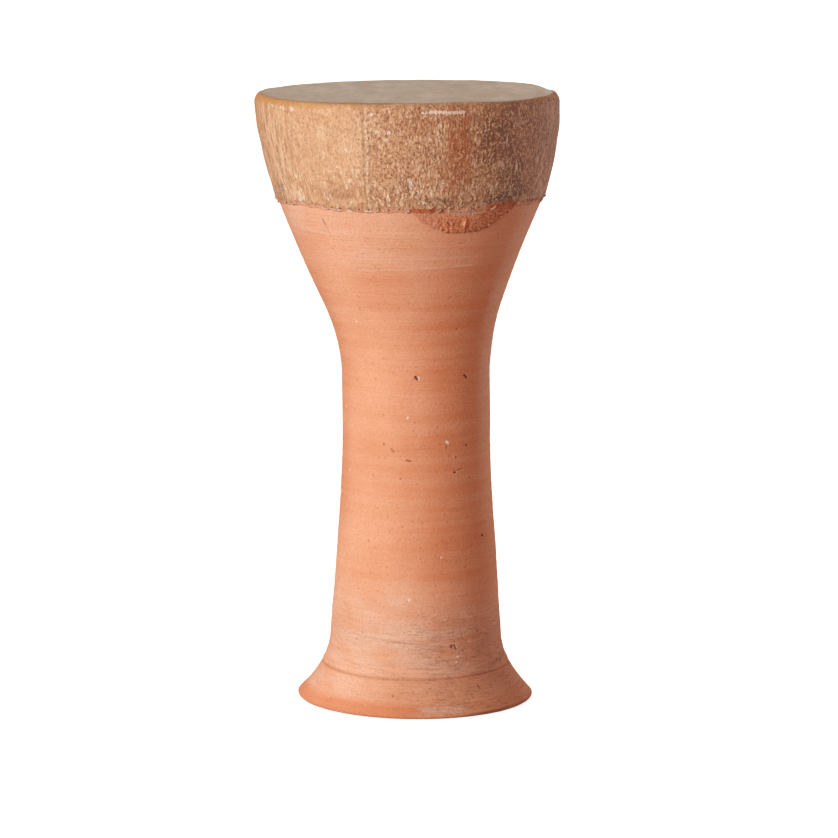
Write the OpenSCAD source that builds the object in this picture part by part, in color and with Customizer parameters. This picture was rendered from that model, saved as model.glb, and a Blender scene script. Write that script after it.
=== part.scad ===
// Goblet hand drum: a wheel-thrown clay shell, open at its flared foot, with one
// piece of hide stretched over the bowl's rim and glued down the bowl's side.
// Millimetres. Z is up, the front is -Y, and the origin is the centre of the foot.

/* [Clay shell] */
// Height from the foot to the playing face
drum_h = 425; // [400:1:450]
// Diameter over the hide at the head
head_d = 210; // [200:1:220]
// Outer diameter of the straight waist
waist_d = 103; // [98:0.5:108]
// Diameter across the lip of the foot
foot_d = 165; // [155:1:175]
// Thickness of the clay wall
wall_t = 7.5; // [6:0.5:9]
// Depth of the ring cut into the foot's flare
groove_depth = 0.9; // [0.3:0.1:1.5]

/* [Hide head] */
// Thickness of the hide
hide_t = 1.1; // [0.8:0.1:1.6]
// How far the hide comes down from the playing face
skirt_h = 75; // [65:1:85]
// Number of holes along the hide's lower edge, for the lacing that pulled it tight
hole_count = 84; // [60:6:96]
// Diameter of a lacing hole
hole_d = 1.6; // [1.2:0.1:2]

/* [Glue and lacing] */
// Thickness of the glue between hide and clay
glue_t = 0.5; // [0.3:0.1:0.8]
// Thickness of the glue smeared on the clay below the hide
smear_t = 0.6; // [0.3:0.1:1]
// How far down that smear reaches
smear_drop = 16; // [10:1:25]
// Diameter of the lacing thread
thread_d = 1; // [0.6:0.1:1.1]
// One hole in this many still holds a cut end of thread
holes_per_end = 3; // [2:1:6]

/* [Hidden] */
$fn = 96;

terracotta = "#D98A63";
hide_brown = "#B98A63";
glue_amber = "#C9964F";
smear_red = "#B4583A";
thread_cream = "#E6D8C0";

// Points along each blend of the outline, and round each of its small corners
blend_steps = 14;
corner_steps = 6;
small_fn = 24;

// Radii of the foot's lip and of the rim's outer and inner corners
lip_r = 2;
rim_corner_r = 4;
inner_corner_r = 2;
// Width of the flat ring that the foot stands on, inside its lip
land_w = 5.5;

foot_r = foot_d / 2;
waist_r = waist_d / 2;
rim_r = head_d / 2 - hide_t - glue_t;
clay_top_z = drum_h - hide_t - glue_t;

// The outline's corners as [radius, height], from the foot up. Blends round them off.
lip_top = [foot_r, lip_r];
flare_corner = [waist_r + 10.1, 23];
tube_foot = [waist_r + 8.6, 44];
waist_foot = [waist_r, 166];
bowl_foot = [waist_r, 254];
bowl_shoulder = [rim_r - 1.9, drum_h - 48.5];
rim_edge = [rim_r, clay_top_z - rim_corner_r];

// Heights where the blends begin and end
tube_end_z = 142;
waist_bottom_z = 190;
waist_top_z = 226;
cone_start_z = 281;
cone_end_z = drum_h - 80;
shoulder_end_z = drum_h - 16;

// The ring cut into the foot's flare: its height, and the radius of its round bottom
groove_z = 24.5;
groove_r = 1.4;

// The hide's lower edge, and the lacing holes just above it
skirt_z = drum_h - skirt_h;
hole_z = skirt_z + 2.2;

// The smear runs this far round from the front, and is deepest at this share of its width
smear_from = 0.5;
smear_to = 52;
smear_deepest = 0.46;
smear_steps = 16;

// An end of thread starts this far out from the clay, stands this far out of the hide,
// and hangs this far down
thread_start = 0.3;
thread_out = 1;
thread_down = 3;

// The point at height z on the straight line through a and b
function at_z(a, b, z) = a + (b - a) * (z - a.y) / (b.y - a.y);

// The curve from a to b that rounds off the corner c, moved inwards by inset
function blend(a, c, b, inset) = [
    for (i = [0:blend_steps])
        let (
            t = i / blend_steps,
            p = (1 - t) * (1 - t) * a + 2 * t * (1 - t) * c + t * t * b,
            along = (1 - t) * (c - a) + t * (b - c),
            outward = [along.y, -along.x] / norm(along)
        )
        p - inset * outward
];

// Part of a circle about centre, from angle a0 to a1
function arc(centre, r, a0, a1) = [
    for (i = [0:corner_steps])
        let (a = a0 + (a1 - a0) * i / corner_steps)
        centre + r * [cos(a), sin(a)]
];

function reversed(path) = [for (i = [len(path) - 1:-1:0]) path[i]];

// The path without points that repeat the one before
function unrepeated(path) = [
    for (i = [0:len(path) - 1])
        if (i == 0 || norm(path[i] - path[i - 1]) > 0.01) path[i]
];

// The clay's side from the foot's lip up to the rim's corner, moved inwards by inset
function side(inset = 0) = concat(
    blend(lip_top, flare_corner, tube_foot, inset),
    blend(
        at_z(tube_foot, waist_foot, tube_end_z),
        waist_foot,
        [waist_r, waist_bottom_z],
        inset
    ),
    blend(
        [waist_r, waist_top_z],
        bowl_foot,
        at_z(bowl_foot, bowl_shoulder, cone_start_z),
        inset
    ),
    blend(
        at_z(bowl_foot, bowl_shoulder, cone_end_z),
        bowl_shoulder,
        at_z(bowl_shoulder, rim_edge, shoulder_end_z),
        inset
    ),
    [rim_edge - [inset, 0]]
);

// The point on the clay's outside at height z
function side_at(z) =
    let (
        path = side(),
        i = max([for (k = [0:len(path) - 2]) if (path[k].y <= z) k])
    )
    at_z(path[i], path[i + 1], z);

// The clay's outside between two heights
function side_between(z0, z1) = concat(
    [side_at(z0)],
    [for (p = side()) if (p.y > z0 + 1 && p.y < z1 - 1) p],
    [side_at(z1)]
);

// From the hide's lower edge up the clay and round the rim's corner, moved outwards by off
function over_rim(off) = concat(
    [for (p = side_between(skirt_z, rim_edge.y)) p + [off, 0]],
    arc(rim_edge - [rim_corner_r, 0], rim_corner_r + off, 0, 90)
);

// Lays its children out along +X at every hole, or at one hole in every so many
module at_holes(every = 1) {
    for (i = [0:every:hole_count - 1])
        rotate([0, 0, i * 360 / hole_count])
            translate([side_at(hole_z).x, 0, hole_z])
                children();
}

module clay_body() {
    inner_corner = [rim_r - wall_t + inner_corner_r, clay_top_z - inner_corner_r];
    color(terracotta)
        difference() {
            rotate_extrude()
                polygon(unrepeated(concat(
                    arc(lip_top - [lip_r, 0], lip_r, -90, 0),
                    side(),
                    arc(rim_edge - [rim_corner_r, 0], rim_corner_r, 0, 90),
                    arc(inner_corner, inner_corner_r, 90, 180),
                    reversed([for (p = side(wall_t)) if (p.y > lip_r) p]),
                    [[foot_r - lip_r - land_w, 0]]
                )));
            foot_groove();
        }
}

// The ring that is taken out of the foot's flare
module foot_groove() {
    translate([0, 0, groove_z])
        rotate_extrude()
            translate([side_at(groove_z).x + groove_r - groove_depth, 0])
                circle(r = groove_r, $fn = small_fn);
}

module hide_head() {
    color(hide_brown)
        difference() {
            rotate_extrude()
                polygon(unrepeated(concat(
                    over_rim(glue_t + hide_t),
                    [[0, drum_h], [0, drum_h - hide_t]],
                    reversed(over_rim(glue_t))
                )));
            at_holes()
                rotate([0, 90, 0])
                    cylinder(d = hole_d, h = 4 * hide_t, $fn = small_fn);
        }
}

module glue_bed() {
    land_edge = [rim_r - wall_t + inner_corner_r, clay_top_z];
    color(glue_amber)
        difference() {
            rotate_extrude()
                polygon(unrepeated(concat(
                    over_rim(glue_t),
                    [land_edge + [0, glue_t], land_edge],
                    reversed(over_rim(0))
                )));
            lacing_ends();
        }
}

// How far the smear reaches below the hide, at a share s of its width
function smear_depth(s) =
    smear_drop * pow(sin(180 * pow(s, ln(0.5) / ln(smear_deepest))), 0.8);

module glue_smear() {
    on_clay = side_between(skirt_z - smear_drop - 1, skirt_z);
    lower_edge = [
        for (i = [0:smear_steps])
            let (s = i / smear_steps, a = smear_from + (smear_to - smear_from) * s)
            [side_at(skirt_z).x * sin(a), skirt_z - smear_depth(s)]
    ];
    color(smear_red)
        intersection() {
            rotate_extrude()
                polygon(concat(on_clay, reversed([for (p = on_clay) p + [smear_t, 0]])));
            rotate([90, 0, 0])
                linear_extrude(head_d)
                    polygon(lower_edge);
        }
}

// A cut end of thread: out through its hole, then down
module thread_end() {
    reach = glue_t + hide_t + thread_out;
    translate([thread_start, 0, 0])
        rotate([0, 90, 0])
            cylinder(d = thread_d, h = reach - thread_start, $fn = small_fn);
    translate([reach, 0, 0]) {
        sphere(d = thread_d, $fn = small_fn);
        translate([0, 0, -thread_down])
            cylinder(d = thread_d, h = thread_down, $fn = small_fn);
    }
}

module lacing_ends() {
    color(thread_cream)
        at_holes(holes_per_end)
            thread_end();
}

clay_body();
hide_head();
glue_bed();
glue_smear();
lacing_ends();
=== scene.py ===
import math

import bmesh
import bpy
import numpy as np
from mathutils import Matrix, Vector


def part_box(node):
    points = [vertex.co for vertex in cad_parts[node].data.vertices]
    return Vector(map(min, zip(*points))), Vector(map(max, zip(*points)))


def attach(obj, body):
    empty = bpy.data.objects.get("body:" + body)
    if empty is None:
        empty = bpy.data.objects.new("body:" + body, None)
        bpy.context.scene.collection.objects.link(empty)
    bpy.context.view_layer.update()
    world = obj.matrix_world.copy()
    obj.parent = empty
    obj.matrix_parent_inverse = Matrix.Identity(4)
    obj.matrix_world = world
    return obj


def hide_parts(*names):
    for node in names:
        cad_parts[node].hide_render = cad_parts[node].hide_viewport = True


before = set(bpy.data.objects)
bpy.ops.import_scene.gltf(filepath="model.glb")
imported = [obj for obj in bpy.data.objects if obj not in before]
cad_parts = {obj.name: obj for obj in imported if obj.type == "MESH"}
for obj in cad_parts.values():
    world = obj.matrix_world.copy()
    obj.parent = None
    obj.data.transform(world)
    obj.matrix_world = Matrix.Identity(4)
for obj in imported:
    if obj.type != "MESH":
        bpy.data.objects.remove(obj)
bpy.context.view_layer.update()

MM = 0.001
DEG = math.pi / 180

# The drum is round, so most of this script works on its unrolled side. "turn" is the angle
# round the drum in radians: 0 at the front (-Y), growing to the right (+X). Heights and radii
# are in metres, as everything in the frame is.

# ---- sizes, from the frame

CLAY_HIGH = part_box("clay_body")[1]
GLUE_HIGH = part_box("glue_bed")[1]
HIDE_LOW, HIDE_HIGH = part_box("hide_head")
DRUM_H = HIDE_HIGH.z
SKIRT_Z = HIDE_LOW.z
GLUE_T = GLUE_HIGH.z - CLAY_HIGH.z
HIDE_T = HIDE_HIGH.z - GLUE_HIGH.z
HEAD_R = HIDE_HIGH.y
RIM_R = HEAD_R - HIDE_T - GLUE_T

# What the CAD model rounds off, and what the hide's edge holds
RIM_CORNER = 4 * MM
LIP_R = 2 * MM
GROOVE_Z = 24.5 * MM
GROOVE_HALF = 1.5 * MM
HOLE_COUNT = 84
HOLE_PITCH = 2 * math.pi / HOLE_COUNT
HOLE_RISE = 2.2 * MM
HOLE_R = 0.8 * MM
HOLES_PER_END = 3


# ---- curves and noise

def step(x, low, high):
    """0 below low, 1 above high, and a smooth rise between. high may be under low."""
    s = np.clip((np.asarray(x, float) - low) / (high - low), 0, 1)
    return s * s * (3 - 2 * s)


def hump(x, centre, width):
    """A smooth bump of height 1 at centre."""
    return np.exp(-(((x - centre) / width) ** 2))


def window(x, low, high, soft):
    """1 between low and high, and 0 outside them, with soft edges."""
    return step(x, low - soft, low + soft) * step(x, high + soft, high - soft)


def sector(turn, low, high, soft):
    """The same between two turns in degrees."""
    return window(turn, low * DEG, high * DEG, soft * DEG)


def band(height, low, high, soft):
    """The same between two heights, or radii, in mm."""
    return window(height, low * MM, high * MM, soft * MM)


def ramp(height, low, high):
    """A step between two heights in mm."""
    return step(height, low * MM, high * MM)


def ridge(x, centre, width):
    """A hump with its centre and width in mm."""
    return hump(x, centre * MM, width * MM)


def line_through(points, x, x_unit, y_unit):
    """The value at x of a line through (x, y) points, which are listed in their own units."""
    along, up = np.array(points, float).T
    return np.interp(x, along * x_unit, up * y_unit)


def wrapped(turn):
    """The same turn between -180 and 180 degrees."""
    return (turn + math.pi) % (2 * math.pi) - math.pi


def noise(turn, height, around, tall, seed):
    """Smooth noise from -1 to 1 on the drum's side, with `around` bumps to the turn, each of
    them `tall` mm high."""
    rows = 512
    table = np.random.default_rng(seed).uniform(-1, 1, (around, rows))
    x = (np.asarray(turn) / (2 * math.pi)) % 1 * around
    y = (np.asarray(height) / (tall * MM)) % rows
    x, y = np.broadcast_arrays(x, y)
    i, j = np.floor(x).astype(int), np.floor(y).astype(int)
    u, v = x - i, y - j
    u, v = u * u * (3 - 2 * u), v * v * (3 - 2 * v)
    i, j = i % around, j % rows
    i_next, j_next = (i + 1) % around, (j + 1) % rows
    low = table[i, j] * (1 - u) + table[i_next, j] * u
    high = table[i, j_next] * (1 - u) + table[i_next, j_next] * u
    return low * (1 - v) + high * v


def rough(turn, height, around, tall, seed, octaves=3):
    """Noise with finer and weaker noise on top of it."""
    total = sum(
        noise(turn, height, around * 2**k, tall / 2**k, seed + k) / 2**k for k in range(octaves)
    )
    return total / (2 - 2 ** (1 - octaves))


def uneven(turn, around, seed, octaves=3):
    """Rough noise that is the same at every height."""
    return rough(turn, 0, around, 1, seed, octaves)


# ---- the clay's outline

def ring_points(outward):
    """(heights, radii) of the rings of the CAD shell's outer or inner wall."""
    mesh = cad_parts["clay_body"].data
    spots = np.array([v.co for v in mesh.vertices])
    normals = np.array([v.normal for v in mesh.vertices])
    radii = np.hypot(spots[:, 0], spots[:, 1])
    facing = (normals[:, :2] * spots[:, :2]).sum(1) / np.maximum(radii, 1e-6)
    keep = facing > 0.15 if outward else facing < -0.15
    heights = np.round(spots[keep, 2], 5)
    stations = np.unique(heights)
    return stations, np.array([radii[keep][heights == z].mean() for z in stations])


def smooth_wall(outward, low, high, spread):
    """A function that gives the wall's radius at a height, with the CAD facets smoothed out."""
    stations, radii = ring_points(outward)
    keep = np.abs(stations - GROOVE_Z) > GROOVE_HALF
    stations, radii = stations[keep], radii[keep]
    fine = 0.5 * MM
    z = np.arange(low, high, fine)
    r = np.interp(z, stations, radii)
    reach = int(3 * spread / fine)
    kernel = np.exp(-0.5 * (np.arange(-reach, reach + 1) * fine / spread) ** 2)
    kernel /= kernel.sum()
    padded = np.pad(r, reach, mode="reflect", reflect_type="odd")
    smooth = np.convolve(padded, kernel, mode="valid")
    return lambda height: np.interp(height, z, smooth)


RIM_EDGE_Z = CLAY_HIGH.z - RIM_CORNER
clay_r = smooth_wall(True, LIP_R, RIM_EDGE_Z, 2.5 * MM)
inner_r = smooth_wall(False, 3.2 * MM, RIM_EDGE_Z, 3 * MM)
WALL_T = RIM_R - inner_r(RIM_EDGE_Z)
FOOT_R = clay_r(LIP_R)
LAND_INNER_R = ring_points(False)[1][0]


def evenly(low, high, spacing):
    """Heights from low up to, and without, high, about spacing mm apart."""
    count = max(1, round(abs(high - low) / (spacing * MM)))
    return list(np.linspace(low, high, count + 1)[:-1])


def corner(r, z, radius, start, end, count):
    """Points of a round corner about (r, z), as (radius, height), without the last."""
    angles = np.linspace(start, end, count + 1)[:-1] * DEG
    return [(r + radius * math.cos(a), z + radius * math.sin(a)) for a in angles]


# ---- the drum isn't quite true

# How far the drum's axis stands to the right at some heights, in mm
LEAN = (
    (0, 2.5), (60, 3.1), (100, 3.5), (200, 3.5), (250, 2.9), (280, 0.6), (300, -0.8), (330, -1.2),
    (360, -0.6), (390, -1.6), (425, -3.5),
)
LEAN_SOFT = 14 * MM
HEAD_TILT = 0.0105
FOOT_TILT = 0.007


def lean(height):
    """How far the axis stands to the right at a height."""
    total = 0
    for k in (-1, -0.5, 0, 0.5, 1):
        total = total + line_through(LEAN, np.asarray(height) + k * LEAN_SOFT, MM, MM)
    return total / 5


def as_thrown(points):
    """Puts points of the true, straight drum where the hand-thrown one has them."""
    x, y, z = np.asarray(points).T
    turn = np.arctan2(x, -y)
    swell = 1 + 0.0025 * np.sin(2 * turn + 1.0 + z * 9) + 0.0015 * np.sin(3 * turn + 2.0 - z * 14)
    swell -= 0.008 * np.sin(turn) ** 2 * band(z, 356, 396, 8)
    x, y = x * swell, y * swell
    low_side = 1.3 * sector(turn, 32, 112, 12)
    low_side += 0.6 * sector(turn, 75, 112, 4)
    dip = MM * low_side * step(z, 0.39, 0.418) * step(np.hypot(x, y), 0.045, 0.09)
    up = HEAD_TILT * x * step(z, 0.25, 0.40) - dip + FOOT_TILT * (FOOT_R - x) * step(z, 0.05, 0)
    return np.stack([x + lean(z), y, z + up], 1)


# ---- mesh helpers

def round_points(radius, turn, height):
    """Points at a radius, a turn and a height, each of them a number or a grid."""
    return np.stack(np.broadcast_arrays(radius * np.sin(turn), -radius * np.cos(turn), height), -1)


def spun(path, columns):
    """Points of a path of (radius, height), repeated at each column round the axis."""
    r, z = np.array(path).T[..., None]
    return round_points(r, np.arange(columns) * 2 * math.pi / columns, z)


def ring_faces(rows, columns, first=0, closed=False, skip=(), flip=False):
    """Quads between the rows of a spun grid, without those at the (row, column)s in skip. They
    face out where the path runs upwards, or in where it does when flipped."""
    faces = []
    for j in range(rows if closed else rows - 1):
        low, high = first + j * columns, first + (j + 1) % rows * columns
        for i in range(columns):
            after = (i + 1) % columns
            quad = (low + i, low + after, high + after, high + i)
            if (j, i) not in skip:
                faces.append((quad[0], *quad[:0:-1]) if flip else quad)
    return faces


def make_object(name, data):
    """An object in the scene, for a mesh, a light or a camera."""
    made = bpy.data.objects.new(name, data)
    bpy.context.scene.collection.objects.link(made)
    return made


def make_mesh(name, points, faces, material):
    """A smooth mesh object."""
    mesh = bpy.data.meshes.new(name)
    mesh.from_pydata([tuple(p) for p in points], [], faces)
    mesh.shade_smooth()
    mesh.materials.append(material)
    return make_object(name, mesh)


def make_piece(name, points, faces, material, replaced):
    """A smooth mesh object that stands for a CAD node."""
    piece = make_mesh(name, points, faces, material)
    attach(piece, "root")
    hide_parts(replaced)
    return piece


def coordinates(mesh):
    """The mesh's points and their normals as arrays."""
    spots, normals = np.empty(len(mesh.vertices) * 3), np.empty(len(mesh.vertices) * 3)
    mesh.vertices.foreach_get("co", spots)
    mesh.vertices.foreach_get("normal", normals)
    return spots.reshape(-1, 3), normals.reshape(-1, 3)


def move_points(mesh, spots):
    mesh.vertices.foreach_set("co", np.asarray(spots, float).ravel())
    mesh.update()


def paint(mesh, name, values):
    """Stores a number for each point, which the material reads by its name."""
    layer = mesh.attributes.new(name, "FLOAT", "POINT")
    layer.data.foreach_set("value", np.clip(values, 0, 1).astype(np.float32))


def refine(mesh, near, passes=2):
    """Splits faces in four where near(face centres, pass) says so."""
    bm = bmesh.new()
    bm.from_mesh(mesh)
    for k in range(passes):
        centres = np.array([f.calc_center_median() for f in bm.faces])
        chosen = np.flatnonzero(near(centres, k))
        bm.faces.ensure_lookup_table()
        edges = {e for i in chosen for e in bm.faces[i].edges}
        bmesh.ops.subdivide_edges(bm, edges=list(edges), cuts=1, use_grid_fill=True)
    for face in bm.faces:
        face.smooth = True
    bm.to_mesh(mesh)
    bm.free()
    mesh.update()


def side_place(spots):
    """(turn, height) of points."""
    return np.arctan2(spots[:, 0], -spots[:, 1]), spots[:, 2]


# ---- materials

class Look:
    """A procedural material. Its patterns are in the object's own coordinates, and its colours
    and its reliefs are laid one over the other."""

    def __init__(self, name):
        self.material = bpy.data.materials.new(name)
        self.material.use_nodes = True
        self.tree = self.material.node_tree
        self.shader = self.tree.nodes["Principled BSDF"]
        self.place = self.tree.nodes.new("ShaderNodeTexCoord").outputs["Object"]
        self.colour = None
        self.relief = None

    def feed(self, socket, value):
        """Links a socket, or sets its number, vector or colour."""
        if isinstance(value, bpy.types.NodeSocket):
            self.tree.links.new(value, socket)
        else:
            socket.default_value = (*value, 1.0) if socket.type == "RGBA" else value

    def add(self, kind, inputs, **settings):
        made = self.tree.nodes.new(kind)
        for key, value in settings.items():
            setattr(made, key, value)
        for key, value in inputs.items():
            self.feed(made.inputs[key], value)
        return made

    def stretched(self, stretch):
        if stretch == (1, 1, 1):
            return self.place
        return self.add("ShaderNodeMapping", {"Vector": self.place, "Scale": stretch}).outputs[0]

    def noise(self, scale, detail=2.0, stretch=(1, 1, 1), roughness=0.5, distortion=0.0):
        inputs = {
            "Vector": self.stretched(stretch), "Scale": scale, "Detail": detail,
            "Roughness": roughness, "Distortion": distortion,
        }
        return self.add("ShaderNodeTexNoise", inputs).outputs["Fac"]

    def cells(self, scale, stretch=(1, 1, 1)):
        """The distance to the nearest of many scattered points."""
        inputs = {"Vector": self.stretched(stretch), "Scale": scale}
        return self.add("ShaderNodeTexVoronoi", inputs).outputs["Distance"]

    def mark(self, name):
        """A number that was painted on the mesh."""
        return self.add("ShaderNodeAttribute", {}, attribute_name=name).outputs["Fac"]

    def level(self, value, low, high, to_low=0.0, to_high=1.0):
        """The value's range from low to high, turned smoothly into another range."""
        inputs = {
            "Value": value, "From Min": low, "From Max": high, "To Min": to_low, "To Max": to_high,
        }
        made = self.add("ShaderNodeMapRange", inputs, interpolation_type="SMOOTHSTEP")
        return made.outputs["Result"]

    def maths(self, operation, a, b):
        return self.add("ShaderNodeMath", {0: a, 1: b}, operation=operation).outputs[0]

    def times(self, a, b):
        return self.maths("MULTIPLY", a, b)

    def plus(self, a, b):
        return self.maths("ADD", a, b)

    def patchy(self, name, pattern, low, high, least=0.0):
        """A painted number, weakened to its least share where the pattern is low."""
        return self.times(self.mark(name), self.level(pattern, low, high, least, 1.0))

    def mix(self, factor, a, b):
        """Colour a where factor is 0 and colour b where it is 1."""
        made = self.add("ShaderNodeMix", {}, data_type="RGBA", blend_type="MIX")
        for name, value in (("Factor_Float", factor), ("A_Color", a), ("B_Color", b)):
            self.feed(next(s for s in made.inputs if s.identifier == name), value)
        return next(s for s in made.outputs if s.identifier == "Result_Color")

    def layer(self, factor, colour):
        """Lays a colour over the material's."""
        self.colour = self.mix(factor, self.colour, colour)

    def tint(self, pattern, low, high, strength, colour):
        """Lays a colour over the material's where a pattern is near high."""
        self.layer(self.level(pattern, low, high, 0.0, strength), colour)

    def stain(self, name, pattern, low, high, least, colour):
        """Lays a colour over the material's where a number was painted."""
        self.layer(self.patchy(name, pattern, low, high, least), colour)

    def bump(self, height, distance):
        """Lays a relief over the material's."""
        inputs = {"Height": height, "Distance": distance, "Strength": 1.0}
        if self.relief is not None:
            inputs["Normal"] = self.relief
        self.relief = self.add("ShaderNodeBump", inputs).outputs["Normal"]

    def wear(self, **sockets):
        """Sets the shader's sockets, by their names with _ for a space."""
        for key, value in sockets.items():
            self.feed(self.shader.inputs[key.replace("_", " ")], value)
        return self.material

    def done(self, roughness, specular):
        """The material, with all that was laid over it."""
        return self.wear(
            Base_Color=self.colour, Roughness=roughness, Normal=self.relief,
            Specular_IOR_Level=specular,
        )


def clay_look():
    """Unglazed earthenware, with throwing lines, chalky bloom, grog and grime. Some of the bloom, the
    redness and the grime is painted light and shade.
    """
    look = Look("terracotta")
    broad = look.noise(16, 3)
    patches = look.noise(42, 4, (1, 1, 1.8))
    bands = look.noise(26, 4, (0.25, 0.25, 7))
    lines = look.noise(60, 3, (0.12, 0.12, 14))
    scratches = look.noise(110, 2, (0.25, 0.25, 16), 0.6)
    grain = look.noise(900, 3, (1, 1, 1), 0.6)
    pores = look.noise(420, 4, (1, 1, 1.5), 0.7)
    look.colour = look.mix(look.level(broad, 0.35, 0.65), (0.74, 0.365, 0.195), (0.80, 0.445, 0.27))
    # Redder clay, which on the right side and at the right of the foot is partly painted shade.
    look.stain("warm_and_shade", patches, 0.2, 0.7, 0.75, (0.68, 0.235, 0.10))
    # Chalky bloom, which towards the front left is partly painted light on the lit side.
    chalk_and_light = look.patchy("chalk_and_light", patches, 0.3, 0.62, 0.35)
    chalk_and_light = look.times(chalk_and_light, look.level(lines, 0.3, 0.65, 0.6, 1.0))
    look.layer(chalk_and_light, (0.80, 0.59, 0.45))
    look.tint(bands, 0.35, 0.68, 0.25, (0.86, 0.54, 0.36))
    look.tint(lines, 0.60, 0.78, 0.22, (0.60, 0.25, 0.13))
    look.tint(scratches, 0.60, 0.74, 0.30, (0.86, 0.62, 0.46))
    look.tint(grain, 0.40, 0.66, 0.36, (0.58, 0.25, 0.13))
    look.tint(pores, 0.57, 0.70, 0.42, (0.50, 0.19, 0.09))
    specks = look.level(look.cells(210), 0.10, 0.06)
    look.layer(look.times(specks, 0.5), (0.40, 0.14, 0.065))
    pale_specks = look.level(look.cells(150, (1, 1, 1.3)), 0.075, 0.05)
    look.layer(look.times(pale_specks, 0.6), (0.86, 0.64, 0.48))
    tooled = look.patchy("tooled", scratches, 0.40, 0.60)
    look.layer(look.times(tooled, 0.12), (0.55, 0.24, 0.13))
    gouges = look.noise(150, 4, (0.6, 0.6, 2.4), 0.7, 0.5)
    gouged = look.patchy("tooled", gouges, 0.52, 0.64)
    look.layer(look.times(gouged, 0.16), (0.50, 0.20, 0.10))
    look.layer(look.mark("white"), (0.88, 0.80, 0.68))
    # Dark pits, cuts and the groove line, and painted shade under the lip and on the right of the
    # foot.
    look.layer(look.mark("grime_and_shade"), (0.22, 0.07, 0.03))
    look.bump(grain, 0.00025)
    look.bump(pores, -0.00045)
    look.bump(lines, 0.00032)
    look.bump(scratches, 0.0002)
    look.bump(specks, -0.0003)
    look.bump(tooled, 0.00018)
    look.bump(gouged, -0.0003)
    roughness = look.level(patches, 0.3, 0.7, 0.80, 0.95)
    return look.done(roughness, 0.25)


def hide_look():
    """Old rawhide: grainy and stained, with pale fibres, a grey face and an amber rim."""
    look = Look("rawhide")
    broad = look.noise(22, 3)
    blotch = look.noise(75, 4, (1, 1, 0.7), 0.6)
    mottle = look.noise(240, 4, (1, 1, 0.7), 0.7)
    grain = look.noise(640, 3, (1, 1, 0.7), 0.75, 0.6)
    fibres = look.noise(520, 3, (1, 1, 0.2), 0.65, 0.4)
    fine = look.noise(1500, 2)
    speck = look.mark("speck")
    look.colour = look.mix(look.level(broad, 0.35, 0.65), (0.66, 0.37, 0.185), (0.74, 0.47, 0.27))
    look.stain("pale", blotch, 0.3, 0.6, 0.5, (0.80, 0.57, 0.345))
    look.stain("red", blotch, 0.32, 0.56, 0.6, (0.50, 0.165, 0.055))
    look.stain("brown", blotch, 0.34, 0.58, 0.55, (0.235, 0.088, 0.038))
    look.layer(look.mark("grey"), (0.40, 0.26, 0.18))
    look.layer(look.mark("dark"), (0.11, 0.062, 0.04))
    mottled = look.times(look.level(mottle, 0.50, 0.68, 0.0, 0.48), speck)
    look.layer(mottled, (0.36, 0.14, 0.06))
    smoky = look.times(look.level(mottle, 0.46, 0.36, 0.0, 0.6), look.mark("brown"))
    look.layer(smoky, (0.50, 0.26, 0.15))
    pores = look.times(look.level(grain, 0.48, 0.39, 0.0, 0.8), speck)
    look.layer(pores, (0.22, 0.08, 0.035))
    light = look.level(grain, 0.525, 0.60, 0.0, 0.85)
    light = look.times(light, look.level(speck, 0, 1, 0.25, 1.0))
    look.layer(light, (0.86, 0.62, 0.385))
    strands = look.noise(380, 3, (1, 1, 0.1), 0.6)
    streaked = look.times(look.mark("streak"), look.level(strands, 0.5, 0.38, 0.0, 0.55))
    look.layer(streaked, (0.34, 0.15, 0.06))
    streaked = look.times(look.mark("streak"), look.level(strands, 0.52, 0.62, 0.0, 0.55))
    look.layer(streaked, (0.86, 0.66, 0.42))
    flecks = look.times(look.level(fibres, 0.55, 0.63), look.level(blotch, 0.38, 0.58, 0.2, 1.0))
    flecks = look.times(flecks, look.mark("fleck"))
    look.layer(flecks, (0.90, 0.75, 0.54))
    # Cream marks, with painted highlight along the crease's second ridge and on the curled edge.
    cream = look.plus(look.mark("cream"), look.times(grain, 1.5))
    look.tint(cream, 1.0, 1.4, 0.9, (0.89, 0.78, 0.65))
    coat = look.mix(look.level(grain, 0.35, 0.65), (0.66, 0.31, 0.17), (0.80, 0.48, 0.31))
    coat = look.mix(look.mark("smeared"), coat, (0.55, 0.16, 0.06))
    look.layer(look.mark("coat"), coat)
    ambers = look.mix(look.mark("brown"), (0.60, 0.315, 0.07), (0.15, 0.06, 0.025))
    look.stain("amber", blotch, 0.25, 0.6, 0.7, ambers)
    streaks = look.noise(60, 4, (1, 0.35, 1), 0.6)
    top = look.mix(look.level(streaks, 0.3, 0.7), (0.51, 0.51, 0.41), (0.62, 0.645, 0.525))
    hairs = look.noise(420, 3, (0.4, 0.7, 1), 0.6)
    top = look.mix(look.level(hairs, 0.46, 0.62, 0.0, 0.35), top, (0.36, 0.30, 0.24))
    top = look.mix(look.level(mottle, 0.5, 0.75, 0.0, 0.30), top, (0.36, 0.30, 0.24))
    look.layer(look.mark("face"), top)
    # Dark crease line, rim line and nick, with painted shade beside the crease's second ridge.
    look.layer(look.mark("grime_and_shade"), (0.10, 0.045, 0.025))
    calm = look.level(look.mark("face"), 0, 1, 1, 0.3)
    look.bump(fine, 0.00012)
    look.bump(look.times(grain, calm), 0.0011)
    look.bump(look.times(mottle, calm), 0.0008)
    look.bump(look.times(fibres, calm), 0.0008)
    roughness = look.level(look.mark("amber"), 0, 1, 0.60, 0.30)
    return look.done(roughness, 0.45)


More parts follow.
